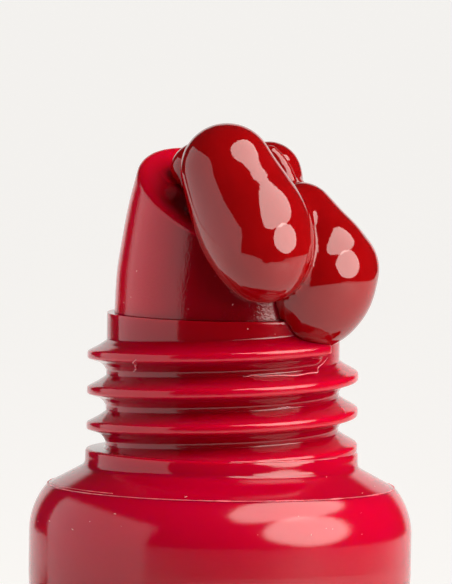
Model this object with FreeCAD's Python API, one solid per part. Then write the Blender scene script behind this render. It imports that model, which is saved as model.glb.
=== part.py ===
import FreeCAD, Part
import math
import os

V = FreeCAD.Vector

# Squeeze tube with a screw neck, a slant-cut applicator tip, its paint and its loose cap.
# All sizes in mm.  +Z runs up the tube axis; the origin is the middle of the tail's lower edge.
# The tail is widest along X and the slanted face of the tip looks up and toward -Y.

# Sleeve
sleeve_r = 9.5
wall = 0.5
shoulder_z = 52.0
edge_round = 3.5
edge_rise = 2.32
tail_width = 29.4
tail_thick = 1.0
seal_height = 5.0
pocket_z = 5.6
pocket_width = 27.6
pocket_thick = 0.4

# Head: shoulder, collar, neck and thread in one moulding
collar_r = 6.77
collar_low = 3.31
collar_high = 4.10
neck_r = 5.78
neck_high = 10.87
bore_r = 4.6
skirt_drop = 2.0
skirt_wall = 0.8
shoulder_wall = 1.1
thread_crest_r = 6.71
thread_pitch = 1.766
thread_root_half = 0.57
thread_crest_half = 0.15
thread_embed = 0.25
thread_low = 3.9
thread_high = 9.50
thread_start_deg = 229.4
thread_steps = 30
thread_run_out = 2

# Applicator tip: plug pressed into the neck, ogive body on the rim, slanted face
tip_outline = [(5.42, 10.87), (5.42, 11.6), (5.36, 12.6), (5.24, 13.7), (5.07, 14.7),
               (4.88, 15.7), (4.67, 16.7), (4.44, 17.7), (4.20, 18.7), (3.92, 19.8), (3.66, 20.8)]
face_mid_z = 16.98
face_slope = 0.51
plug_low = 5.4
plug_wall = 1.3
bead_z = 7.2
channel_low_r = 3.3
channel_r = 1.7
channel_cone_low = 11.4
channel_cone_high = 13.6

# Squeezed-out paint: two rounded runs, each (x, y, z, r) from its upper to its lower end
paint_runs = [((-2.24, -3.19, 18.22, 2.36), (-1.88, -5.62, 14.45, 2.64)),
              ((1.7, -4.2, 15.7, 1.85), (2.01, -5.48, 12.4, 2.78))]
paint_keep_off_r = 6.78

# Cap, standing beside the tail on its open end
cap_x = 31.0
cap_r_low = 9.5
cap_r_top = 9.0
cap_high = 20.4
cap_wall = 1.1
cap_roof = 1.4
rib_count = 48
rib_depth = 0.22
rib_low = 2.2
rib_high = 17.6
liner_out_r = 8.0
liner_high = 8.2
liner_low = 1.3
liner_thread_r = 6.95
liner_root_r = 7.4
seal_r = 6.4
seal_thick = 1.0


def at_shoulder(points):
    return [V(r, 0, shoulder_z + z) for r, z in points]


def revolved(edges):
    return Part.Face(Part.Wire(edges)).revolve(V(0, 0, 0), V(0, 0, 1), 360)


def revolved_polygon(points):
    return Part.Face(Part.makePolygon(points + points[:1])).revolve(V(0, 0, 0), V(0, 0, 1), 360)


def ring_section(radius, z, split):
    """Circle of four arcs: right, back, left, front, split near the X axis."""
    def at(deg):
        a = math.radians(deg)
        return V(radius * math.cos(a), radius * math.sin(a), z)
    arcs = [(-split, 0, split), (split, 90, 180 - split),
            (180 - split, 180, 180 + split), (180 + split, 270, 360 - split)]
    return Part.Wire([Part.Arc(at(a), at(b), at(c)).toShape() for a, b, c in arcs])


def slot_section(width, thick, z):
    """Flat slot with rounded ends, its four edges in the order of ring_section."""
    half, r = width / 2 - thick / 2, thick / 2
    return Part.Wire([
        Part.Arc(V(half, -r, z), V(half + r, 0, z), V(half, r, z)).toShape(),
        Part.makeLine(V(half, r, z), V(-half, r, z)),
        Part.Arc(V(-half, r, z), V(-half - r, 0, z), V(-half, -r, z)).toShape(),
        Part.makeLine(V(-half, -r, z), V(half, -r, z))])


def edge_arc(radius):
    """Rounded shoulder edge of the given radius, from its vertical start up to the parting line."""
    centre = sleeve_r - edge_round
    end = math.asin(edge_rise / edge_round)
    return [V(centre + radius * math.cos(t), 0, shoulder_z + radius * math.sin(t))
            for t in (0, end / 2, end)]


def pocket():
    """Inside of the sleeve below the head."""
    return Part.makeLoft([slot_section(pocket_width, pocket_thick, pocket_z),
                          ring_section(sleeve_r - wall, shoulder_z - skirt_drop, 6)], True, True)


def build_sleeve():
    body = Part.makeLoft([slot_section(tail_width, tail_thick, seal_height),
                          ring_section(sleeve_r, shoulder_z - skirt_drop, 6)], True, True)
    tail = Part.Face(slot_section(tail_width, tail_thick, 0)).extrude(V(0, 0, seal_height))
    top = Part.makeCylinder(sleeve_r, skirt_drop, V(0, 0, shoulder_z - skirt_drop))
    top = top.cut(Part.makeCylinder(sleeve_r - wall, skirt_drop, V(0, 0, shoulder_z - skirt_drop)))
    outer, inner = edge_arc(edge_round), edge_arc(edge_round - wall)
    lip = revolved([Part.Arc(*outer).toShape(), Part.makeLine(outer[2], inner[2]),
                    Part.Arc(*inner).toShape(), Part.makeLine(inner[0], outer[0])])
    return body.cut(pocket()).fuse([tail, top, lip]).removeSplitter()


def thread_ridge():
    """Screw thread as short straight-sided steps, its two ends run out into the neck."""
    turns = (thread_high - thread_low) / thread_pitch
    steps = round(turns * thread_steps)
    sections = []
    for i in range(steps + 1):
        a = math.radians(thread_start_deg + 360 * turns * i / steps)
        z = shoulder_z + thread_low + (thread_high - thread_low) * i / steps
        fade = min(1, (0.1 + min(i, steps - i)) / thread_run_out)
        crest = neck_r + (thread_crest_r - neck_r) * fade
        profile = [(neck_r - thread_embed, -thread_root_half), (neck_r, -thread_root_half),
                   (crest, -thread_crest_half), (crest, thread_crest_half),
                   (neck_r, thread_root_half), (neck_r - thread_embed, thread_root_half)]
        points = [V(r * math.cos(a), r * math.sin(a), z + h) for r, h in profile]
        sections.append(Part.makePolygon(points + points[:1]))
    return Part.makeLoft(sections, True, True)


def build_head():
    outer, inner = edge_arc(edge_round), edge_arc(edge_round - wall)
    under_r = inner[0].x - skirt_wall
    run = [outer[2]] + at_shoulder([
        (collar_r, collar_low), (collar_r, collar_high), (neck_r, collar_high),
        (neck_r, neck_high), (bore_r, neck_high), (bore_r, collar_low - shoulder_wall),
        (under_r, -0.2), (under_r, -skirt_drop), (inner[0].x, -skirt_drop)]) + [inner[0]]
    edges = [Part.makeLine(a, b) for a, b in zip(run, run[1:])]
    edges += [Part.Arc(*inner).toShape(), Part.makeLine(inner[2], outer[2])]
    return revolved(edges).fuse(thread_ridge())


def above_face():
    """Everything above the slanted face of the tip."""
    angle = math.degrees(math.atan(face_slope))
    block = Part.makeBox(40, 40, 20, V(-20, -20, 0))
    block.rotate(V(0, 0, 0), V(1, 0, 0), angle)
    block.translate(V(0, 0, shoulder_z + face_mid_z))
    return block


def tip_envelope():
    points = at_shoulder([(0, neck_high)] + tip_outline + [(0, tip_outline[-1][1])])
    return revolved_polygon(points).cut(above_face())


def channel_points():
    return at_shoulder([(0, plug_low), (channel_low_r, plug_low), (channel_low_r, channel_cone_low),
                        (channel_r, channel_cone_high), (channel_r, 21.0), (0, 21.0)])


def build_tip():
    plug = revolved_polygon(at_shoulder([
        (0, plug_low), (bore_r - 0.3, plug_low), (bore_r, plug_low + 0.7), (bore_r, bead_z),
        (bore_r, neck_high), (0, neck_high)]))
    return tip_envelope().fuse(plug).cut(revolved_polygon(channel_points())).removeSplitter()


def build_fill():
    under_r = sleeve_r - wall - skirt_wall
    cone = revolved_polygon(at_shoulder([
        (0, -skirt_drop), (under_r, -skirt_drop), (under_r, -0.2),
        (bore_r, collar_low - shoulder_wall), (bore_r, plug_low), (0, plug_low)]))
    return pocket().fuse(cone).removeSplitter()


def build_core():
    return revolved_polygon(channel_points()).cut(above_face())


def paint_run(upper, lower):
    a, b = V(*upper[:3]), V(*lower[:3])
    a.z += shoulder_z
    b.z += shoulder_z
    axis = b - a
    return Part.makeSphere(upper[3], a).fuse([
        Part.makeSphere(lower[3], b),
        Part.makeCone(upper[3], lower[3], axis.Length, a, axis)])


def build_bead():
    first, second = [paint_run(*ends) for ends in paint_runs]
    neck_space = Part.makeCylinder(paint_keep_off_r, neck_high, V(0, 0, shoulder_z))
    return first.fuse(second).cut(tip_envelope()).cut(neck_space)


def cap_ribs():
    slot_r = 0.34
    mean = (cap_r_low + cap_r_top) / 2
    ribs = []
    for i in range(rib_count):
        a = 2 * math.pi * i / rib_count
        r = mean + slot_r - rib_depth + 0.02
        ribs.append(Part.makeCylinder(slot_r, rib_high - rib_low,
                                      V(r * math.cos(a), r * math.sin(a), rib_low)))
    return ribs


def build_cap_shell():
    r_in_low, r_in_top = cap_r_low - cap_wall, cap_r_top - cap_wall
    outer = revolved_polygon([
        V(0, 0, 0), V(cap_r_low - 0.2, 0, 0), V(cap_r_low, 0, 0.2), V(cap_r_top, 0, cap_high - 0.8),
        V(cap_r_top - 0.24, 0, cap_high - 0.24), V(cap_r_top - 0.8, 0, cap_high), V(0, 0, cap_high)])
    inside = Part.makeCone(r_in_low, r_in_top, cap_high - cap_roof, V(0, 0, 0), V(0, 0, 1))
    shell = outer.cut(inside).cut(Part.makeCompound(cap_ribs()))
    shell.translate(V(cap_x, 0, 0))
    return shell


def build_cap_liner():
    """Threaded ring pressed into the cap; plain rings stand for the female thread turns."""
    at_low = cap_r_low - cap_wall - (cap_r_low - cap_r_top) * liner_low / (cap_high - cap_roof)
    top = liner_low + liner_high
    at_top = cap_r_low - cap_wall - (cap_r_low - cap_r_top) * top / (cap_high - cap_roof)
    points = [V(at_low, 0, liner_low), V(at_top, 0, top), V(liner_root_r, 0, top)]
    turns = int((liner_high - 1.2) / thread_pitch)
    for i in range(turns):
        z = top - 0.8 - i * thread_pitch
        points += [V(liner_root_r, 0, z), V(liner_thread_r, 0, z - 0.35),
                   V(liner_thread_r, 0, z - 0.65), V(liner_root_r, 0, z - 1.0)]
    points.append(V(liner_root_r, 0, liner_low))
    ring = revolved_polygon(points)
    ring.translate(V(cap_x, 0, 0))
    return ring


def build_cap_seal():
    z = cap_high - cap_roof - seal_thick
    return Part.makeCylinder(seal_r, seal_thick, V(cap_x, 0, z))


builders = {
    "sleeve": build_sleeve,
    "head": build_head,
    "applicator_tip": build_tip,
    "paint_fill": build_fill,
    "paint_core": build_core,
    "paint_bead": build_bead,
    "cap_shell": build_cap_shell,
    "cap_liner": build_cap_liner,
    "cap_seal": build_cap_seal,
}

os.makedirs("parts", exist_ok=True)
for name, build in builders.items():
    shape = build()
    shape.exportStep("parts/" + name + ".step")
    box = shape.BoundBox
    print(name, len(shape.Solids), shape.isValid(), round(shape.Volume, 2),
          [round(v, 2) for v in (box.XMin, box.YMin, box.ZMin, box.XMax, box.YMax, box.ZMax)])
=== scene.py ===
import math
import bpy
import bmesh
import numpy as np
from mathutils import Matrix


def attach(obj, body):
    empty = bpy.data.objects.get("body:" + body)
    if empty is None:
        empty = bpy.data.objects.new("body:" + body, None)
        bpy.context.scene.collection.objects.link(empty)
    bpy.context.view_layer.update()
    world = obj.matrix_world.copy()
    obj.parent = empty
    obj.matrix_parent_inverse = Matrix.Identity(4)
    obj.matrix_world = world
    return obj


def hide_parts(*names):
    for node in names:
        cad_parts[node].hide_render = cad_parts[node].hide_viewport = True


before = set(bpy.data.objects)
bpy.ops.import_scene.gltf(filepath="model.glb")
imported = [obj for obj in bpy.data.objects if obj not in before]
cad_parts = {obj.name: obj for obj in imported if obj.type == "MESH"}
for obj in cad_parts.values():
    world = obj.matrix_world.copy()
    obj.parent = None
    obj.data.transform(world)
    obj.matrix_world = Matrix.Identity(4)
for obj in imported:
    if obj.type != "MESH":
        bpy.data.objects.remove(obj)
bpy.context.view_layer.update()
import openvdb
from mathutils import Vector, Matrix

mm = 0.001
shoulderZ = 52.0  # where the sleeve starts to round over, mm above the tail
turn = 2 * math.pi
view = bpy.context.scene.view_settings
view.view_transform = "Standard"
view.look = "None"


def linearColour(hexText):
    # sRGB hex to the linear colour that a shader socket takes.
    channels = [int(hexText[i:i + 2], 16) / 255 for i in (1, 3, 5)]
    return tuple(c / 12.92 if c <= 0.04045 else ((c + 0.055) / 1.055) ** 2.4 for c in channels) + (1,)


def addNode(tree, kind, settings=None, links=None):
    # settings holds the node's own options by name, and values of its sockets by name or number
    node = tree.nodes.new(kind)
    for key, value in (settings or {}).items():
        if hasattr(node, str(key)):
            setattr(node, key, value)
        else:
            node.inputs[key].default_value = value
    for key, source in (links or {}).items():
        tree.links.new(source, node.inputs[key])
    return node


def meshPiece(name, points, faces, body, material, stands=(), sharpDeg=None, clearnessAndPaintedShading=None):
    # One closed mesh in millimetres, riding on a CAD body.
    mesh = bpy.data.meshes.new(name)
    mesh.from_pydata([tuple(c * mm for c in p) for p in points], [], faces)
    if clearnessAndPaintedShading is not None:  # 1 where the plastic stands away from the paint, 0 where it lies on it; the same channel also carries painted light on the window and lamp sides and painted shade beside the paint bead
        depth = mesh.attributes.new("clearnessAndPaintedShading", "FLOAT", "POINT")
        depth.data.foreach_set("value", np.ravel(clearnessAndPaintedShading).astype(np.float32))
    work = bmesh.new()
    work.from_mesh(mesh)
    bmesh.ops.remove_doubles(work, verts=work.verts, dist=1e-7)
    bmesh.ops.recalc_face_normals(work, faces=work.faces)
    work.to_mesh(mesh)
    work.free()
    mesh.polygons.foreach_set("use_smooth", [True] * len(mesh.polygons))
    if sharpDeg:
        mesh.set_sharp_from_angle(angle=math.radians(sharpDeg))
    piece = bpy.data.objects.new(name, mesh)
    bpy.context.collection.objects.link(piece)
    mesh.materials.append(material)
    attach(piece, body)
    if stands:
        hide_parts(*stands)
    return piece


def gridFaces(rows, columns, closeRows=False):
    # Quads of a rows x columns grid that closes round its columns.
    faces = []
    for i in range(rows if closeRows else rows - 1):
        k = (i + 1) % rows
        for j in range(columns):
            n = (j + 1) % columns
            faces.append((i * columns + j, i * columns + n, k * columns + n, k * columns + j))
    return faces


def filletPath(corners, step):
    # Points along (r, z, fillet) corners, about step apart, each corner rounded by its fillet.
    path = []
    count = len(corners)
    for i in range(count):
        before, here, after = [Vector(corners[(i + d) % count][:2]) for d in (-1, 0, 1)]
        toBefore, toAfter = (before - here), (after - here)
        cut = min(corners[i][2], toBefore.length * 0.48, toAfter.length * 0.48)
        if cut < 1e-4:
            path.append(here)
            continue
        a, b = here + toBefore.normalized() * cut, here + toAfter.normalized() * cut
        bend = max(4, int(cut * 2.5 / step))
        for t in np.linspace(0, 1, bend + 1):
            path.append(a * (1 - t) ** 2 + here * 2 * t * (1 - t) + b * t ** 2)
    dense = []
    for i, a in enumerate(path):
        b = path[(i + 1) % len(path)]
        parts = max(1, int((b - a).length / step))
        dense += [a.lerp(b, t / parts) for t in range(parts)]
    return np.array([tuple(p) for p in dense])


def smoothStep(low, high, x):
    t = np.clip((x - low) / (high - low), 0, 1)
    return t * t * (3 - 2 * t)


def softMax(a, b, blend):
    h = np.clip(0.5 + 0.5 * (a - b) / blend, 0, 1)
    return b + (a - b) * h + blend * h * (1 - h)


def softMin(a, b, blend):
    return -softMax(-a, -b, blend)


# Moulded LDPE dyed red, full of paint: light soaks in and comes out deep crimson, brighter where
# the wall stands away from the paint, with a polished mould's gloss over it. The same tint also carries
# the painted light and painted shade held in the mesh attribute. The noises are in cells to the metre: 9000
# is grain
# 0.11 mm wide, 900 clouds 1.1 mm wide, both drawn as coarse as they need to show.
def mouldedPlastic(name, look):
    material = bpy.data.materials.new(name)
    material.use_nodes = True
    tree = material.node_tree
    tree.nodes.clear()
    place = addNode(tree, "ShaderNodeTexCoord")
    # how far the plastic stands away from the paint, with painted light and painted shade added in
    clear = addNode(tree, "ShaderNodeAttribute", {"attribute_name": "clearnessAndPaintedShading"})
    cloud = addNode(tree, "ShaderNodeTexNoise", {"Scale": look["cloudPerMetre"], "Detail": 3.0},
                    {"Vector": place.outputs["Object"]})
    cloudy = addNode(tree, "ShaderNodeMapRange", {"To Min": -0.06, "To Max": 0.06},
                     {"Value": cloud.outputs["Fac"]})
    mixed = addNode(tree, "ShaderNodeMath", {"operation": "ADD", "use_clamp": True},
                    {0: clear.outputs["Fac"], 1: cloudy.outputs["Result"]})
    tint = addNode(tree, "ShaderNodeValToRGB", links={"Fac": mixed.outputs["Value"]})
    tint.color_ramp.elements[0].position = 0.0
    tint.color_ramp.elements[0].color = linearColour(look["deep"])
    tint.color_ramp.elements[1].position = 1.0
    tint.color_ramp.elements[1].color = linearColour(look["bright"])
    grain = addNode(tree, "ShaderNodeTexNoise", {"Scale": look["grainPerMetre"], "Detail": 2.0},
                    {"Vector": place.outputs["Object"]})
    rough = addNode(tree, "ShaderNodeMapRange",
                    {"From Min": 0.3, "From Max": 0.7,
                     "To Min": look["gloss"][0], "To Max": look["gloss"][1]},
                    {"Value": grain.outputs["Fac"]})
    # scuffs run round the tube, about 1 mm long and 0.07 mm high
    stretch = addNode(tree, "ShaderNodeMapping", {"Scale": (1.0, 1.0, 16.0)},
                      {"Vector": place.outputs["Object"]})
    scuff = addNode(tree, "ShaderNodeTexNoise", {"Scale": 900.0, "Detail": 4.0, "Roughness": 0.7},
                    {"Vector": stretch.outputs["Vector"]})
    scratched = addNode(tree, "ShaderNodeBump", {"Strength": look["scuff"], "Distance": 0.004 * mm},
                        {"Height": scuff.outputs["Fac"]})
    relief = addNode(tree, "ShaderNodeBump", {"Strength": look["relief"], "Distance": look["reliefMm"] * mm},
                     {"Height": grain.outputs["Fac"], "Normal": scratched.outputs["Normal"]})
    skin = addNode(tree, "ShaderNodeBsdfPrincipled",
                   {"IOR": 1.51, "Subsurface Weight": 1.0, "Subsurface Radius": (1.0, 0.12, 0.16),
                    "Subsurface Scale": look["soakMm"] * mm},
                   {"Base Color": tint.outputs["Color"], "Roughness": rough.outputs["Result"],
                    "Normal": relief.outputs["Normal"]})
    addNode(tree, "ShaderNodeOutputMaterial", links={"Surface": skin.outputs["BSDF"]})
    return material


headPlastic = mouldedPlastic("moulded LDPE, polished mould", {
    "deep": "#84000C", "bright": "#A20022", "cloudPerMetre": 900.0, "grainPerMetre": 9000.0,
    "gloss": (0.05, 0.10), "relief": 0.15, "reliefMm": 0.01, "scuff": 0.4, "soakMm": 1.2})
tipPlastic = mouldedPlastic("moulded LDPE, satin mould", {
    "deep": "#7A000C", "bright": "#C80028", "cloudPerMetre": 700.0, "grainPerMetre": 9000.0,
    "gloss": (0.06, 0.10), "relief": 0.5, "reliefMm": 0.02, "scuff": 0.1, "soakMm": 0.9})
sleevePlastic = mouldedPlastic("extruded LDPE sleeve", {
    "deep": "#940018", "bright": "#AA0026", "cloudPerMetre": 300.0, "grainPerMetre": 6000.0,
    "gloss": (0.08, 0.14), "relief": 0.1, "reliefMm": 0.01, "scuff": 0.8, "soakMm": 1.2})
flashPlastic = mouldedPlastic("thin LDPE flash", {  # so thin that hardly any red is left in it
    "deep": "#E0606C", "bright": "#E86C76", "cloudPerMetre": 900.0, "grainPerMetre": 9000.0,
    "gloss": (0.15, 0.25), "relief": 0.1, "reliefMm": 0.01, "scuff": 0.0, "soakMm": 0.3})


# Wet artists' paint: almost no texture, a mirror-like skin over a deep red mass.
def wetPaint():
    material = bpy.data.materials.new("wet artists' paint")
    material.use_nodes = True
    tree = material.node_tree
    skin = tree.nodes["Principled BSDF"]
    place = addNode(tree, "ShaderNodeTexCoord")
    cloud = addNode(tree, "ShaderNodeTexNoise", {"Scale": 500.0, "Detail": 2.0},  # clouds 2 mm across
                    {"Vector": place.outputs["Object"]})
    tint = addNode(tree, "ShaderNodeValToRGB", links={"Fac": cloud.outputs["Fac"]})
    tint.color_ramp.elements[0].position = 0.3
    tint.color_ramp.elements[0].color = linearColour("#800205")
    tint.color_ramp.elements[1].position = 0.7
    tint.color_ramp.elements[1].color = linearColour("#860306")
    tree.links.new(tint.outputs["Color"], skin.inputs["Base Color"])
    skin.inputs["IOR"].default_value = 1.58
    skin.inputs["Roughness"].default_value = 0.045
    skin.inputs["Subsurface Weight"].default_value = 0.6
    skin.inputs["Subsurface Radius"].default_value = (1.0, 0.08, 0.08)
    skin.inputs["Subsurface Scale"].default_value = 0.5 * mm
    return material


paint = wetPaint()
for node in ("paint_fill", "paint_core"):
    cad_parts[node].data.materials.clear()
    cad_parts[node].data.materials.append(paint)

print("head")
head = {"collarR": 6.77, "collarLow": 3.31, "collarHigh": 4.10, "neckR": 5.78, "neckHigh": 10.87,
        "boreR": 4.6, "crestHigh": 0.955, "pitch": 1.766,
        "ridge": [(-0.80, 0), (-0.77, 0.02), (-0.57, 0.15), (-0.42, 0.345), (-0.28, 0.80), (-0.245, 0.92),
                  (-0.205, 0.975), (-0.15, 0.997), (-0.02, 1.0), (0.09, 0.997), (0.15, 0.975), (0.2, 0.92),
                  (0.32, 0.69), (0.47, 0.387), (0.62, 0.155), (0.70, 0.035),
                  (0.735, 0)],  # height across one ridge, low side first
        "startDeg": 291.0, "startZ": 9.50, "threads": 3.6, "leadIn": 0.11, "partingR": 8.62, "partingZ": 2.32,
        "skirtR": 8.24, "skirtWall": 1.17, "skirtLow": -2.0, "roofLow": -0.2, "boreLow": 2.2,
        "columns": 420, "step": 0.04}


def threadRise(theta, z):
    # height of the thread over the neck at each angle and height
    rise = np.zeros(np.broadcast(theta, z).shape)
    behind = np.mod(math.radians(head["startDeg"]) - theta, turn)
    across, high = np.array(head["ridge"]).T
    for k in range(math.ceil(head["threads"]) + 1):
        run = behind + turn * k
        centre = head["startZ"] - head["pitch"] * run / turn
        fade = np.sqrt(np.clip(1 - (1 - np.clip(run / head["leadIn"], 0, 1)) ** 2, 0, 1))
        fade = np.where(run > turn * head["threads"], 0, fade)
        shape = np.interp((z - centre) / (0.6 + 0.4 * fade), across, high, 0, 0)
        rise = np.maximum(rise, head["crestHigh"] * shape * fade)
    return rise


# painted side light: the window's direction round the tube, and how much lighter and over what spread the
# sides are painted
glow = {"windowDeg": 144, "most": 0.8, "from": 0.2, "to": 1.1}


def paintedSideLight(theta):
    # Painted light: the wall's colour is made lighter on the side toward the window and on the side toward
    # the lamp, as if their light soaked through it.
    across = np.cos(theta - math.radians(glow["windowDeg"]))
    return glow["most"] * smoothStep(glow["from"], glow["to"], np.abs(across))


def buildHead():
    h = head
    under = h["partingR"] - h["skirtWall"]
    corners = [
        (h["partingR"] - 0.02, h["partingZ"] - 0.02, 0.0), (h["partingR"] - 0.05, h["partingZ"] + 0.02, 0.02),
        (h["collarR"] + 0.02, h["collarLow"], 0.22), (h["collarR"], h["collarHigh"], 0.16),
        (h["neckR"], h["collarHigh"] + 0.06, 0.12), (h["neckR"], h["neckHigh"], 0.14),
        (h["boreR"], h["neckHigh"] - 0.01, 0.0), (h["boreR"], h["boreLow"], 0.3), (under, h["roofLow"], 0.3),
        (under, h["skirtLow"], 0.0), (h["skirtR"], h["skirtLow"], 0.0), (h["skirtR"], 1.95, 0.0)]
    path = filletPath(corners, 0.2)
    fine = []
    for i, a in enumerate(path):
        b = path[(i + 1) % len(path)]
        # only the threaded wall needs many rows
        busy = (min(a[0], b[0]) > h["neckR"] - 0.18 and min(a[1], b[1]) > h["collarHigh"] - 0.3
                and max(a[1], b[1]) < h["neckHigh"])
        parts = max(1, int(np.hypot(*(b - a)) / (h["step"] if busy else 9)))
        fine += [a + (b - a) * t / parts for t in range(parts)]
    path = np.array(fine)
    theta = np.linspace(0, turn, h["columns"], endpoint=False)[None, :]
    r, z = path[:, :1] + 0 * theta, path[:, 1:] + 0 * theta
    outside = (r > h["neckR"] - 0.3) & (z > h["collarHigh"] - 0.4)
    ridge = threadRise(theta, z)
    r = np.where(outside, softMax(r, h["neckR"] + ridge - 0.002, 0.02), r)
    onNeck = smoothStep(h["collarHigh"] + 0.5, h["collarHigh"] - 0.1, z)
    crest = ridge / h["crestHigh"] * 1.25
    # crests and collar are plastic away from the paint; the sides also get painted light from the window and
    # lamp
    clearnessAndPaintedShading = np.clip(np.maximum(np.maximum(crest, onNeck), paintedSideLight(theta)), 0, 1)
    points = np.stack([r * np.cos(theta), r * np.sin(theta), z + shoulderZ], -1).reshape(-1, 3)
    return meshPiece("shoulder_and_neck", points, gridFaces(len(path), h["columns"], True),
                     "tube", headPlastic, ["head"], sharpDeg=50, clearnessAndPaintedShading=clearnessAndPaintedShading)


buildHead()

print("mould flash")
flash = {
    # hairs and burrs left by the mould: degrees round the head and height from end to end, then thickness
    "strands": [([(195, 8.90), (190, 8.62), (187, 8.30), (185, 8.22)], 0.045),
                ([(297, 8.95), (290, 8.60), (285, 8.30), (268, 8.22), (250, 8.24), (244, 8.20)], 0.04),
                ([(300, 6.20), (304, 6.45), (306, 6.52)], 0.03),
                ([(262, 6.62), (268, 6.66), (271, 6.60)], 0.03)],
    # radius, height, from and to in degrees, thickness, size of its burrs
    "rings": [(8.605, 2.335, 0, 360, 0.018, 0.030), (6.765, 4.085, 238, 292, 0.022, 0.026),
              (8.50, 2.44, 150, 196, 0.012, 0.012)],
    "sides": 6, "stepDeg": 0.8, "seed": 7}


def strandMesh(path, radii, sides):
    # Closed thin tube along a path.
    path = np.asarray(path)
    along = np.gradient(path, axis=0)
    along /= np.linalg.norm(along, axis=1)[:, None]
    side = np.cross(along, np.array([0.3, 0.2, 0.93]))
    side /= np.linalg.norm(side, axis=1)[:, None]
    up = np.cross(side, along)
    points, faces, count = [], [], len(path)
    for k in range(count):
        for a in np.linspace(0, turn, sides, endpoint=False):
            points.append(path[k] + radii[k] * (math.cos(a) * side[k] + math.sin(a) * up[k]))
    for k in range(count - 1):
        for j in range(sides):
            n = (j + 1) % sides
            faces.append((k * sides + j, k * sides + n, (k + 1) * sides + n, (k + 1) * sides + j))
    faces.append(tuple(range(sides))[::-1])
    faces.append(tuple((count - 1) * sides + j for j in range(sides)))
    return points, faces


def buildFlash():
    f = flash
    rng = np.random.default_rng(f["seed"])
    points, faces = [], []

    def add(path, radii):
        more, ends = strandMesh(path, radii, f["sides"])
        start = len(points)
        points.extend(more)
        faces.extend(tuple(i + start for i in face) for face in ends)

    for knots, thick in f["strands"]:
        k = np.array(knots, float)
        s = np.linspace(0, 1, 50)
        at = np.linspace(0, 1, len(k))
        angle = np.radians(np.interp(s, at, k[:, 0]) + 0.25 * np.sin(s * 23))
        z = np.interp(s, at, k[:, 1]) + 0.015 * np.sin(s * 31)
        r = head["neckR"] + threadRise(angle[:, None], z[:, None])[:, 0] + 0.01
        path = np.stack([r * np.cos(angle), r * np.sin(angle), z + shoulderZ], -1)
        add(path, thick * (0.35 + 0.65 * np.sin(np.pi * np.clip(s, 0.06, 0.94))))
    for radius, z, first, last, thick, burr in f["rings"]:
        angle = np.radians(np.arange(first, last, f["stepDeg"]))
        wander = np.convolve(rng.random(len(angle) + 4) ** 6, np.ones(5) / 2.2, "valid")
        r = radius + 0.4 * burr * wander
        path = np.stack([r * np.cos(angle), r * np.sin(angle), z + shoulderZ + 0 * angle], -1)
        add(path, thick * 0.6 + burr * wander)
    return meshPiece("mould_flash", points, faces, "tube", flashPlastic,
                     clearnessAndPaintedShading=np.ones(len(points)))


buildFlash()

print("applicator tip")
tip = {"outline": [(5.43, 10.87), (5.41, 11.2), (5.39, 12.0), (5.33, 13.0), (5.23, 13.7), (5.10, 14.5),
                   (4.96, 15.4), (4.79, 16.3), (4.62, 17.0), (4.44, 17.7), (4.2, 18.6), (3.92, 19.6),
                   (3.66, 20.6)],  # radius and height up the wall
       "faceZ": 16.98, "slope": 0.51, "rimRound": 0.40, "holeR": 1.75, "plugR": 4.6, "plugLow": 5.4,
       "columns": 240}


def tipRadius(z):
    # Wall radius at a height, smooth through the outline points.
    known = np.array(tip["outline"])
    fine = np.linspace(known[0, 1], known[-1, 1], 200)
    rough = np.interp(fine, known[:, 1], known[:, 0])
    for _ in range(60):
        rough[1:-1] = (rough[:-2] + rough[1:-1] + rough[2:]) / 3
    return np.interp(z, fine, rough)


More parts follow.
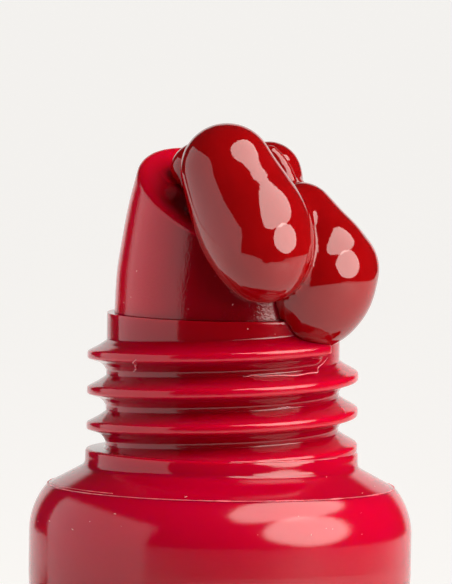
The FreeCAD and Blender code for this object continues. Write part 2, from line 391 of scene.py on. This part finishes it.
def buildTip():
    t = tip
    theta = np.linspace(0, turn, t["columns"], endpoint=False)
    base = t["outline"][0][1]
    rimZ = np.full_like(theta, t["faceZ"])
    for _ in range(30):
        rimZ = t["faceZ"] + t["slope"] * tipRadius(rimZ) * np.sin(theta)
    rimR = tipRadius(rimZ)
    wallTop = rimZ - t["rimRound"]
    rows, clear = [], []

    def ring(r, z, clearHereAndPaintedShade=0.0):
        rows.append(np.stack([r * np.cos(theta), r * np.sin(theta), z + 0 * theta], -1))
        # painted light on the window and lamp sides, up the wall to the rim
        clear.append(np.maximum(clearHereAndPaintedShade, paintedSideLight(theta) * (z < wallTop + 0.01)))

    def faceZ(r):
        return t["faceZ"] + t["slope"] * r * np.sin(theta)

    def paintedShadeBesidePaint(r):
        # painted shade: the face's colour is made darker close to where it runs in under the paint bead
        return smoothStep(3.0, 4.6, np.hypot(r * np.cos(theta) + 0.4, r * np.sin(theta) + 1.6))

    plugR, plugLow = t["plugR"], t["plugLow"]
    ring(0.5 + 0 * theta, plugLow)
    for r, z in [(2.0, plugLow), (4.2, plugLow), (4.35, 5.45), (plugR, 6.1), (plugR, 8.0),
                 (plugR, base - 0.02), (4.62, base), (5.41, base), (5.427, base + 0.01), (5.43, base + 0.05)]:
        ring(r + 0 * theta, z)
    for s in np.linspace(0.01, 1, 60):
        z = base + 0.1 + (wallTop - base - 0.1) * s
        ring(tipRadius(z), z, 0.5 * smoothStep(0.975, 1.0, s))
    wallEnd, corner = np.stack([tipRadius(wallTop), wallTop]), np.stack([rimR, rimZ])
    inR = rimR - t["rimRound"] * 1.1
    faceStart = np.stack([inR, faceZ(inR)])
    for s in np.linspace(0, 1, 13)[1:]:
        r, z = wallEnd * (1 - s) ** 2 + corner * 2 * s * (1 - s) + faceStart * s ** 2
        ring(r, z, (0.4 + 0.3 * s) * paintedShadeBesidePaint(r))
    for s in np.linspace(0, 1, 25)[1:]:
        r = inR + (t["holeR"] + 0.12 - inR) * s
        ring(r, faceZ(r) - 0.12 * np.sin(np.pi * s) ** 2, 0.7 * paintedShadeBesidePaint(r))
    for r, d in [(0.06, 0.015), (0.02, 0.05), (0.0, 0.12), (0.0, 1.0), (0.0, 2.4)]:
        ring(t["holeR"] + r + 0 * theta, faceZ(t["holeR"]) - d)
    ring(t["holeR"] + 0 * theta, 13.0)
    ring(t["holeR"] + 0 * theta, 11.0)
    ring(0.5 + 0 * theta, 11.0)
    points = np.concatenate(rows)
    points[:, 2] += shoulderZ
    return meshPiece("slanted_tip", points, gridFaces(len(rows), t["columns"], True),
                     "tube", tipPlastic, ["applicator_tip"], sharpDeg=50,
                     clearnessAndPaintedShading=np.concatenate(clear))


buildTip()

print("sleeve")
sleeve = {"r": 9.5, "wall": 0.5, "edgeR": 3.5, "tailWidth": 29.4, "tailThick": 1.0, "seal": 5.0,
          "pocketZ": 5.6, "pocketWidth": 27.6, "pocketThick": 0.36, "columns": 240,
          "ribMm": 0.9, "ribDeep": 0.09}


def tubeSection(columns, radius, width, thick, flat):
    # Section between a circle (flat 0) and a round-ended slot (flat 1).
    s = np.linspace(0, 1, columns, endpoint=False)
    angle = turn * s
    round_ = np.stack([radius * np.cos(angle), radius * np.sin(angle)], -1)
    half, small = width / 2 - thick / 2, thick / 2
    u = np.cos(angle)
    x = half * (1 - np.arccos(u) / math.pi * 2)
    edge = np.clip(np.abs(np.sin(angle)) / 0.12, 0, 1)
    y = np.sign(np.sin(angle)) * small * np.sqrt(np.clip(1 - (1 - edge) ** 2, 0, 1))
    slot = np.stack([x + np.sign(x) * small * np.sqrt(np.clip(1 - (y / small) ** 2, 0, 1)), y], -1)
    return round_ * (1 - flat) + slot * flat


def buildSleeve():
    s = sleeve
    n = s["columns"]
    rows = []

    def ring(section, z):
        rows.append(np.column_stack([section, np.full(n, z)]))

    slot = tubeSection(n, s["r"], s["tailWidth"], s["tailThick"], 1.0)
    ring(slot * np.array([1, 0]), 0.0)
    ring(slot * np.array([0.995, 0.7]), 0.0)
    for z in np.linspace(0.05, s["seal"], 56):
        wave = 0.5 - 0.5 * math.cos(turn * z / s["ribMm"])  # level ribs pressed in by the welding bar
        press = 1 - s["ribDeep"] * 2 * wave * (0.3 < z < s["seal"] - 0.3)
        ring(slot * np.array([1, press]), z)
    top = shoulderZ - 2.0
    for t in np.linspace(0, 1, 70)[1:]:
        z = s["seal"] + (top - s["seal"]) * t
        ring(tubeSection(n, s["r"], s["tailWidth"], s["tailThick"], 1 - t), z)
    for z in (top + 0.7, top + 1.4):
        ring(tubeSection(n, s["r"], s["tailWidth"], s["tailThick"], 0), z)
    centre = s["r"] - s["edgeR"]
    end = math.asin(head["partingZ"] / s["edgeR"])
    lip = 0.05
    for a in np.linspace(0, end - lip / s["edgeR"], 24):
        ring(tubeSection(n, centre + s["edgeR"] * math.cos(a), 1, 1, 0), shoulderZ + s["edgeR"] * math.sin(a))
    for radius, a in [(s["edgeR"] - 0.004, end - 0.006), (s["edgeR"] - 0.02, end),
                      (s["edgeR"] - 0.25, end), (s["edgeR"] - s["wall"], end)]:
        ring(tubeSection(n, centre + radius * math.cos(a), 1, 1, 0), shoulderZ + radius * math.sin(a))
    inner = s["edgeR"] - s["wall"]
    for a in np.linspace(end, 0, 10)[1:]:
        ring(tubeSection(n, centre + inner * math.cos(a), 1, 1, 0), shoulderZ + inner * math.sin(a))
    for t in np.linspace(1, 0, 40):
        ring(tubeSection(n, s["r"] - s["wall"], s["pocketWidth"], s["pocketThick"], 1 - t),
             s["pocketZ"] + (top - s["pocketZ"]) * t)
    ring(tubeSection(n, 1, s["pocketWidth"], s["pocketThick"], 1.0) * np.array([0.99, 0]), s["pocketZ"])
    points = np.concatenate(rows)
    return meshPiece("squeeze_sleeve", points, gridFaces(len(rows), n), "tube",
                     sleevePlastic, ["sleeve"], sharpDeg=50,
                     clearnessAndPaintedShading=smoothStep(shoulderZ - 3, shoulderZ + 2, points[:, 2]))


buildSleeve()

print("squeezed-out paint")
faceTurn = math.radians(-36)  # the paint leans a little to one side of the slanted face
bead = {
    "voxel": 0.2,
    # each run: right of the axis, towards the back, height over the shoulder, radius
    "front": [(0.06, -3.9, 18.22, 2.30), (0.42, -4.15, 17.4, 2.47), (0.95, -4.6, 16.35, 2.68),
              (1.45, -5.1, 15.4, 2.80), (1.78, -5.7, 14.62, 2.60), (1.93, -6.1, 14.04, 2.22)],
    "side": [(3.72, -2.4, 15.85, 1.75), (4.38, -2.95, 14.9, 1.94), (4.85, -3.3, 13.95, 2.30),
             (4.90, -3.4, 13.25, 2.60), (4.78, -3.35, 12.7, 2.68), (4.52, -3.25, 12.15, 2.60),
             (4.36, -3.15, 11.6, 2.26)],
    "elbow": [(5.55, -2.7, 13.95, 1.55), (5.92, -3.0, 13.5, 1.66)],
    "rear": [(1.3, 0.2, 17.6, 1.4), (2.2, 0.3, 17.95, 1.48), (2.6, -0.3, 17.0, 1.35), (3.3, -1.2, 16.1, 1.4)],
    "fold": [(2.2, -1.2, 19.0, 0.35), (2.75, -1.3, 18.3, 0.42), (3.15, -1.6, 17.4, 0.45),
             (3.5, -2.1, 16.5, 0.42), (3.8, -2.6, 15.9, 0.35)],
    "exit": [(-1.28, 0.0, 17.87, 1.52), (-1.3, -0.4, 17.0, 1.3), (-0.9, -1.3, 16.2, 1.3)],
    "stem": [(0.2, 0.2, 16.2, 1.6), (0.2, -1.0, 17.3, 1.7), (0.15, -2.6, 17.7, 1.9)],
    # how far each smaller run melts into the rest, in mm, and the box that holds all of them
    "melt": [("elbow", 0.35), ("rear", 0.18), ("exit", 0.12), ("stem", 0.12), ("fold", 0.08)],
    "low": (-4.0, -9.5, 8.6), "high": (8.6, 3.0, 21.0),
}


def curveThrough(knots, count):
    # Smooth chain of (x, y, z, r) through the knots.
    k = np.array(knots, float)
    k = np.vstack([2 * k[0] - k[1], k, 2 * k[-1] - k[-2]])
    chain = []
    for i in range(1, len(k) - 2):
        for t in np.linspace(0, 1, count, endpoint=i == len(k) - 3):
            chain.append(0.5 * (2 * k[i] + (k[i + 1] - k[i - 1]) * t
                                + (2 * k[i - 1] - 5 * k[i] + 4 * k[i + 1] - k[i + 2]) * t ** 2
                                + (3 * k[i] - k[i - 1] - 3 * k[i + 1] + k[i + 2]) * t ** 3))
    return np.array(chain)


def runDistance(points, knots):
    chain = curveThrough(knots, 9)
    best = np.full(len(points), 1e9)
    for a, b in zip(chain[:-1], chain[1:]):
        ab = b[:3] - a[:3]
        t = np.clip((points - a[:3]) @ ab / (ab @ ab), 0, 1)
        d = np.linalg.norm(points - a[:3] - t[:, None] * ab, axis=1) - (a[3] + (b[3] - a[3]) * t)
        best = np.minimum(best, d)
    return best


def paintDistance(points):
    # Signed distance to the paint; points in the leaning frame of the bead, mm over the shoulder.
    front, side = runDistance(points, bead["front"]), runDistance(points, bead["side"])
    d = softMin(front, side, 0.12 + 0.5 * smoothStep(15.3, 16.4, points[:, 2]))
    for run, melt in bead["melt"]:
        d = softMin(d, runDistance(points, bead[run]), melt)
    c, s = math.cos(faceTurn), math.sin(faceTurn)
    x, y = points[:, 0] * c - points[:, 1] * s, points[:, 0] * s + points[:, 1] * c
    z = points[:, 2]
    radial = np.hypot(x, y)
    inTip = np.maximum(radial - tipRadius(z), z - tip["faceZ"] - tip["slope"] * y)
    inNeck = np.maximum(radial - head["neckR"], z - head["neckHigh"])
    return softMax(d, -np.minimum(inTip, inNeck) + 0.01, 0.06)


def buildBead():
    step = bead["voxel"]
    low, high = np.array(bead["low"]), np.array(bead["high"])
    counts = np.ceil((high - low) / step).astype(int)
    axes = [low[i] + step * np.arange(counts[i]) for i in range(3)]
    points = np.stack(np.meshgrid(*axes, indexing="ij"), -1).reshape(-1, 3)
    grid = openvdb.FloatGrid(1.0)
    grid.copyFromArray(paintDistance(points).reshape(counts).astype(np.float32))
    corners, _, quads = grid.convertToPolygons(isovalue=0.0, adaptivity=0.0)
    work = bmesh.new()
    made = [work.verts.new(p) for p in (corners * step + low).tolist()]
    for q in quads.tolist():
        work.faces.new([made[i] for i in q])
    bmesh.ops.subdivide_edges(work, edges=work.edges, cuts=1, use_grid_fill=True)
    for _ in range(2):
        bmesh.ops.smooth_vert(work, verts=work.verts, factor=0.5,
                              use_axis_x=True, use_axis_y=True, use_axis_z=True)
    work.verts.index_update()
    corners = np.array([v.co for v in work.verts])
    faces = [tuple(v.index for v in f.verts) for f in work.faces]
    pairs = np.array([[v.index for v in e.verts] for e in work.edges])
    work.free()
    for _ in range(4):  # moves every corner onto the exact surface
        d = paintDistance(corners)
        nudge = 0.01
        slope = np.stack([(paintDistance(corners + nudge * axis) - d) / nudge for axis in np.eye(3)], -1)
        size = np.maximum((slope ** 2).sum(1), 0.2)
        corners = corners - slope * (np.clip(d, -0.1, 0.1) / size)[:, None]
    degree = np.bincount(pairs.ravel(), minlength=len(corners))[:, None]
    for _ in range(6):  # evens the skin out, as wet paint does by itself
        total = np.zeros_like(corners)
        np.add.at(total, pairs[:, 0], corners[pairs[:, 1]])
        np.add.at(total, pairs[:, 1], corners[pairs[:, 0]])
        corners = corners * 0.5 + total / degree * 0.5
    c, s = math.cos(faceTurn), math.sin(faceTurn)
    x, y = corners[:, 0] * c - corners[:, 1] * s, corners[:, 0] * s + corners[:, 1] * c
    points = np.stack([x, y, corners[:, 2] + shoulderZ], -1)
    return meshPiece("folded_paint", points, faces, "tube", paint, ["paint_bead"])


buildBead()

print("dust")
dust = {"count": 90, "seed": 11, "smallMm": 0.018, "largeMm": 0.05}


def lintDust():
    material = bpy.data.materials.new("pale lint dust")
    material.use_nodes = True
    skin = material.node_tree.nodes["Principled BSDF"]
    # matt pale pink grains
    skin.inputs["Base Color"].default_value = linearColour("#D8A8A6")
    skin.inputs["Roughness"].default_value = 0.9
    return material


def buildDust():
    # Flat grains lying on the cone, the neck rim, the tip and the shoulder of the sleeve.
    d = dust
    rng = np.random.default_rng(d["seed"])
    points, faces = [], []
    for _ in range(d["count"]):
        theta, where = rng.random() * turn, rng.random()
        if where < 0.35:
            z = head["neckHigh"] + 0.3 + rng.random() * 3.8
            r = tipRadius(z)
        elif where < 0.5:
            z = head["neckHigh"] - 0.1 - rng.random() * 0.8
            r = head["neckR"]
        elif where < 0.75:
            t = rng.random()
            z, r = head["partingZ"] + t, head["partingR"] - t * (head["partingR"] - head["collarR"])
        else:
            a = 0.1 + rng.random() * 0.5
            r, z = sleeve["r"] - sleeve["edgeR"] * (1 - math.cos(a)), sleeve["edgeR"] * math.sin(a)
        size = d["smallMm"] + (d["largeMm"] - d["smallMm"]) * rng.random() ** 3
        out = np.array([math.cos(theta), math.sin(theta), 0.0])
        side = np.array([-math.sin(theta), math.cos(theta), 0.0])
        up = np.array([0, 0, 1.0])
        centre = out * (r + 0.2 * size) + up * (z + shoulderZ)
        turnBy, long_ = rng.random() * turn, 1 + 2 * rng.random() ** 2
        a = math.cos(turnBy) * side + math.sin(turnBy) * up
        b = math.cos(turnBy) * up - math.sin(turnBy) * side
        start = len(points)
        points += [centre + a * size * long_, centre + b * size * 0.7, centre - a * size * long_,
                   centre - b * size * 0.6, centre + out * size * 0.5, centre - out * size * 0.5]
        for i in range(4):
            n = (i + 1) % 4
            faces += [(start + i, start + n, start + 4), (start + n, start + i, start + 5)]
    return meshPiece("dust_grains", points, faces, "tube", lintDust(), sharpDeg=30)


buildDust()

print("cap")
cap = {"x": 31.0, "rLow": 9.5, "rTop": 9.0, "high": 20.4, "wall": 1.1, "roof": 1.4,
       "ribs": 48, "ribDeep": 0.22, "ribLow": 2.2, "ribHigh": 17.6, "columns": 576,
       "linerLow": 1.3, "linerHigh": 8.2, "threadR": 6.95, "rootR": 7.4, "linerColumns": 240,
       "sealR": 6.4, "sealLow": 18.0, "sealThick": 1.0, "biteR": 5.1, "sealColumns": 144}


def revolve(path, columns, ripple=None):
    # Rows of (r, z) turned round the axis of the cap; an end on the axis closes the mesh there.
    theta = np.linspace(0, turn, columns, endpoint=False)[None, :]
    r, z = path[:, :1] + 0 * theta, path[:, 1:] + 0 * theta
    if ripple is not None:
        r = ripple(r, z, theta)
    return np.stack([cap["x"] + r * np.cos(theta), r * np.sin(theta), z], -1).reshape(-1, 3)


def plainPlastic(name, colour, roughness, soakMm, speckle, bumpMm):
    # Plastic or foam in one colour, with the faint mottle and skin texture of the real thing; speckle is
    # in cells to the metre, and the skin's grain is 0.2 mm wide so that it shows.
    material = bpy.data.materials.new(name)
    material.use_nodes = True
    tree = material.node_tree
    skin = tree.nodes["Principled BSDF"]
    place = addNode(tree, "ShaderNodeTexCoord")
    cloud = addNode(tree, "ShaderNodeTexNoise", {"Scale": speckle, "Detail": 3.0},
                    {"Vector": place.outputs["Object"]})
    tint = addNode(tree, "ShaderNodeValToRGB", links={"Fac": cloud.outputs["Fac"]})
    tint.color_ramp.elements[0].position, tint.color_ramp.elements[1].position = 0.3, 0.7
    tint.color_ramp.elements[0].color = linearColour(colour[0])
    tint.color_ramp.elements[1].color = linearColour(colour[1])
    fine = addNode(tree, "ShaderNodeTexNoise", {"Scale": 5000.0, "Detail": 2.0},
                   {"Vector": place.outputs["Object"]})
    relief = addNode(tree, "ShaderNodeBump", {"Strength": 0.4, "Distance": bumpMm * mm},
                     {"Height": fine.outputs["Fac"]})
    tree.links.new(tint.outputs["Color"], skin.inputs["Base Color"])
    tree.links.new(relief.outputs["Normal"], skin.inputs["Normal"])
    skin.inputs["IOR"].default_value = 1.49
    skin.inputs["Roughness"].default_value = roughness
    skin.inputs["Subsurface Weight"].default_value = 0.7
    skin.inputs["Subsurface Radius"].default_value = (1.0, 0.35, 0.3)
    skin.inputs["Subsurface Scale"].default_value = soakMm * mm
    return material


def buildCapShell():
    c = cap
    inLow, inTop = c["rLow"] - c["wall"], c["rTop"] - c["wall"]
    corners = [(c["rTop"] - 0.55, c["high"] - 0.02, 0.5), (c["rTop"] - 0.03, c["high"] - 0.62, 0.5),
               (c["rLow"] - 0.02, 0.22, 0.15), (c["rLow"] - 0.2, 0.0, 0.1), (inLow + 0.06, 0.0, 0.06),
               (inLow, 0.12, 0.1), (inTop, c["high"] - c["roof"], 0.35)]
    edge = filletPath(corners, 0.45)
    last = int(np.argmin(np.hypot(edge[:, 0] - inTop, edge[:, 1] - c["high"] + c["roof"]))) + 4
    edge = edge[:last]
    dish = [(r, c["high"] - 0.02 - 0.12 * smoothStep(7.6, 6.9, r))  # the top is sunk by 0.12 mm
            for r in np.linspace(0, c["rTop"] - 1.2, 24)]
    roof = [(r, c["high"] - c["roof"]) for r in np.linspace(inTop - 0.5, 0, 6)]
    path = np.array(dish + edge.tolist() + roof)

    def ripple(r, z, theta):
        wave = 0.5 + 0.5 * np.cos(c["ribs"] * theta)
        ribbed = (smoothStep(c["ribLow"], c["ribLow"] + 0.5, z)
                  * smoothStep(c["ribHigh"] + 0.4, c["ribHigh"], z))
        onWall = r > c["rTop"] - 0.4
        return np.where(onWall, r - 0.01 - c["ribDeep"] * ribbed * wave ** 3, r)

    plastic = plainPlastic("moulded polypropylene, deep red", ("#A4000A", "#AC000C"), 0.16, 0.5, 400.0, 0.006)
    return meshPiece("ribbed_cap", revolve(path, c["columns"], ripple), gridFaces(len(path), c["columns"]),
                     "cap", plastic, ["cap_shell"], sharpDeg=50)


def buildCapLiner():
    c = cap
    top = c["linerLow"] + c["linerHigh"]
    outer = [c["rLow"] - c["wall"] - 0.02 - (c["rLow"] - c["rTop"]) * z / (c["high"] - c["roof"])
             for z in (c["linerLow"], top)]
    corners = [(outer[0], c["linerLow"] + 0.01, 0.15), (outer[1], top - 0.01, 0.15),
               (c["rootR"], top - 0.01, 0.12), (c["rootR"], c["linerLow"] + 0.01, 0.2)]
    path = filletPath(corners, 0.07)

    def ripple(r, z, theta):
        rise = np.zeros(r.shape)
        for k in range(6):
            middle = top - 1.2 - head["pitch"] * (k - theta / turn)
            shape = np.clip(1.55 - np.abs(z - middle) / 0.26, 0, 1)
            inside = (middle > c["linerLow"] + 0.5) & (middle < top - 0.5)
            rise = np.maximum(rise, np.where(inside, shape, 0))
        return np.where(r < c["rootR"] + 0.02, r - (c["rootR"] - c["threadR"]) * rise * 0.98, r)

    plastic = plainPlastic("natural polypropylene", ("#E4E1DA", "#ECE9E2"), 0.35, 1.0, 600.0, 0.008)
    return meshPiece("cap_thread_ring", revolve(path, c["linerColumns"], ripple),
                     gridFaces(len(path), c["linerColumns"], True), "cap", plastic,
                     ["cap_liner"], sharpDeg=50)


def buildCapSeal():
    c = cap
    low, high = c["sealLow"] + 0.01, c["sealLow"] + c["sealThick"] - 0.01
    under = [(r, low + 0.1 * smoothStep(0.35, 0.0, abs(r - c["biteR"])))  # a dent where the neck bites in
             for r in np.linspace(0, c["sealR"] - 0.3, 50)]
    rim = [(c["sealR"] - 0.1, low + 0.03), (c["sealR"] - 0.02, low + 0.12),
           (c["sealR"] - 0.01, (low + high) / 2),
           (c["sealR"] - 0.02, high - 0.12), (c["sealR"] - 0.1, high - 0.03)]
    over = [(r, high) for r in np.linspace(c["sealR"] - 0.3, 0, 12)]
    path = np.array(under + rim + over)
    foam = plainPlastic("closed-cell polyethylene foam", ("#F1EFEA", "#F8F6F2"), 0.75, 1.0, 2500.0, 0.03)
    return meshPiece("foam_seal", revolve(path, c["sealColumns"]), gridFaces(len(path), c["sealColumns"]),
                     "cap", foam, ["cap_seal"], sharpDeg=50)


buildCapShell()
buildCapLiner()
buildCapSeal()

print("studio")


def towards(azimuth, elevation, distance, target):
    # A point seen from the target at an angle: azimuth 0 is the front, -Y, and 90 is +X.
    a, e = math.radians(azimuth), math.radians(elevation)
    return target + distance * Vector((math.sin(a) * math.cos(e), -math.cos(a) * math.cos(e), math.sin(e)))


camera = {"azimuth": -36.0, "elevation": 3.9, "roll": 0.9, "distance": 0.40, "sensorMm": 36.0,
          "heightMm": 28.97, "aimRight": 0.0001, "aimZ": 11.94}


def buildCamera():
    c = camera
    right = towards(c["azimuth"] + 90, 0, 1.0, Vector())
    target = Vector((0, 0, (shoulderZ + c["aimZ"]) * mm)) + right * c["aimRight"]
    data = bpy.data.cameras.new("camera")
    data.lens = c["sensorMm"] * c["distance"] / (c["heightMm"] * mm)
    data.clip_start, data.clip_end = 0.01, 50.0
    eye = bpy.data.objects.new("camera", data)
    bpy.context.collection.objects.link(eye)
    eye.location = towards(c["azimuth"], c["elevation"], c["distance"], target)
    look = (target - eye.location).to_track_quat("-Z", "Y").to_matrix()
    eye.rotation_euler = (look @ Matrix.Rotation(math.radians(c["roll"]), 3, "Z")).to_euler()
    bpy.context.scene.camera = eye
    return target


focus = buildCamera()


def softBox(name, azimuth, elevation, distance, size, radiance, tint, shape, mirrored):
    data = bpy.data.lights.new(name, "AREA")
    data.shape = shape
    data.size, data.size_y = size
    data.energy = radiance * math.pi * size[0] * size[1]
    data.color = linearColour(tint)[:3]
    lamp = bpy.data.objects.new(name, data)
    bpy.context.collection.objects.link(lamp)
    lamp.location = towards(camera["azimuth"] + azimuth, elevation, distance, focus)
    lamp.rotation_euler = (focus - lamp.location).to_track_quat("-Z", "Y").to_euler()
    lamp.visible_camera = False
    lamp.visible_glossy = mirrored


# azimuth from the camera, elevation, distance and size in metres, brightness, colour, shape, and
# whether glossy skins mirror it
softBoxes = {"left window box": (-86, 13, 0.42, (0.75, 0.32), 1.05, "#FFFFFF", "RECTANGLE", True),
             "right key box": (57, 19.5, 0.45, (0.48, 0.34), 5.4, "#FFF4EC", "ELLIPSE", True),
             "right upper box": (59, 54, 0.45, (0.62, 0.27), 4.6, "#FFF4EC", "ELLIPSE", True),
             "right soft fill": (100, 10, 0.60, (0.50, 0.40), 1.8, "#FFF4EC", "RECTANGLE", False),
             "left soft fill": (-100, 6, 0.60, (0.60, 0.35), 2.6, "#FFFFFF", "RECTANGLE", False)}
for boxName, values in softBoxes.items():
    softBox(boxName, *values)


def flatSheet(name, reach, z, material):
    # a level sheet whose edge lies at reach(azimuth) metres from the tube
    ring = [towards(camera["azimuth"] + a, 0, reach(a), Vector((0, 0, z))) for a in range(-180, 180, 4)]
    mesh = bpy.data.meshes.new(name)
    mesh.from_pydata(ring, [], [tuple(range(len(ring)))])
    mesh.materials.append(material)
    sheet = bpy.data.objects.new(name, mesh)
    bpy.context.collection.objects.link(sheet)
    return sheet


table = {"ahead": 0.40, "left": 0.45, "right": 0.55, "far": 2.6}  # metres from the tube to each edge


def tableReach(azimuth):
    # straight front and side edges, and far to the back
    across, ahead = math.sin(math.radians(azimuth)), math.cos(math.radians(azimuth))
    beside = table["left"] if across < 0 else table["right"]
    return min(table["far"], table["ahead"] / max(0.01, ahead), beside / max(0.01, abs(across)))


def buildStudio():
    # a matt pale board that glows a little, so that it runs into the backdrop without an edge
    material = bpy.data.materials.new("white laminate table")
    material.use_nodes = True
    skin = material.node_tree.nodes["Principled BSDF"]
    skin.inputs["Base Color"].default_value = linearColour("#787674")
    skin.inputs["Roughness"].default_value = 0.6
    skin.inputs["Emission Color"].default_value = linearColour("#F5F3F0")
    skin.inputs["Emission Strength"].default_value = 0.89
    flatSheet("table_top", tableReach, -0.0001, material)
    floor = flatSheet("pale_floor", lambda a: 6.0, -0.0006, material)
    floor.visible_glossy = False
    floor.visible_diffuse = False
    world = bpy.data.worlds.new("studio")
    bpy.context.scene.world = world
    world.use_nodes = True
    tree = world.node_tree
    tree.nodes.clear()
    place = addNode(tree, "ShaderNodeTexCoord")
    back = towards(camera["azimuth"] + 180, 0, 1.0, Vector())
    lean = addNode(tree, "ShaderNodeVectorMath", {"operation": "DOT_PRODUCT", 1: tuple(back)},
                   {0: place.outputs["Generated"]})
    wall = addNode(tree, "ShaderNodeValToRGB", links={"Fac": lean.outputs["Value"]})
    wall.color_ramp.elements[0].position = 0.86
    wall.color_ramp.elements[0].color = linearColour("#272727")
    wall.color_ramp.elements[1].position = 0.90
    wall.color_ramp.elements[1].color = linearColour("#F5F3F0")
    glow = addNode(tree, "ShaderNodeBackground", {"Strength": 1.0}, {"Color": wall.outputs["Color"]})
    addNode(tree, "ShaderNodeOutputWorld", links={"Surface": glow.outputs["Background"]})


buildStudio()
